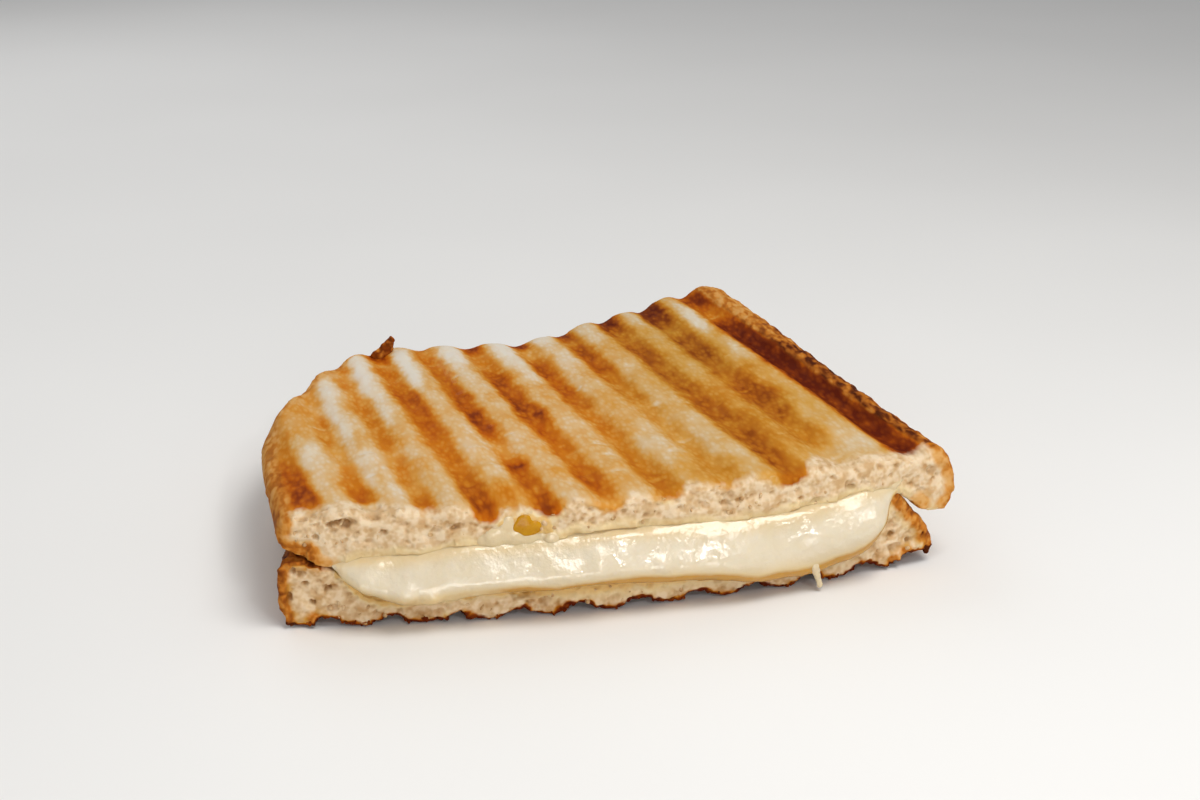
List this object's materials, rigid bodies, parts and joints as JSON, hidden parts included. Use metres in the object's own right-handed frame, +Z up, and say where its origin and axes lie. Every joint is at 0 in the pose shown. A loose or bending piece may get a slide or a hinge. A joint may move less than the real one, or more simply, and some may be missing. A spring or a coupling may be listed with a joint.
{
  "type": "panini",
  "caption": "Half of a pressed cheese panini, cut straight across, with grill grooves on both bread slices and melted cheese bulging from the cut.",
  "frame": {"origin": "under the middle of the half, on the surface that it lies on", "axes": "+Z up through the slices, the cut faces -Y, +X runs along the cut to the right seen from the cut side"},
  "size_m": [0.1208, 0.117, 0.0222],
  "materials": {
    "bread_top": "toasted white bread, cream between the grill marks and deep brown in them",
    "cheese": "melted ivory cheese, glossy and slightly translucent",
    "bread_bottom": "toasted white bread with a pale crumb at the cut and a browned ridged underside"
  },
  "bodies": {
    "root": {"bread_top": "bread_top", "cheese": "cheese", "bread_bottom": "bread_bottom"}
  },
  "joints": []
}
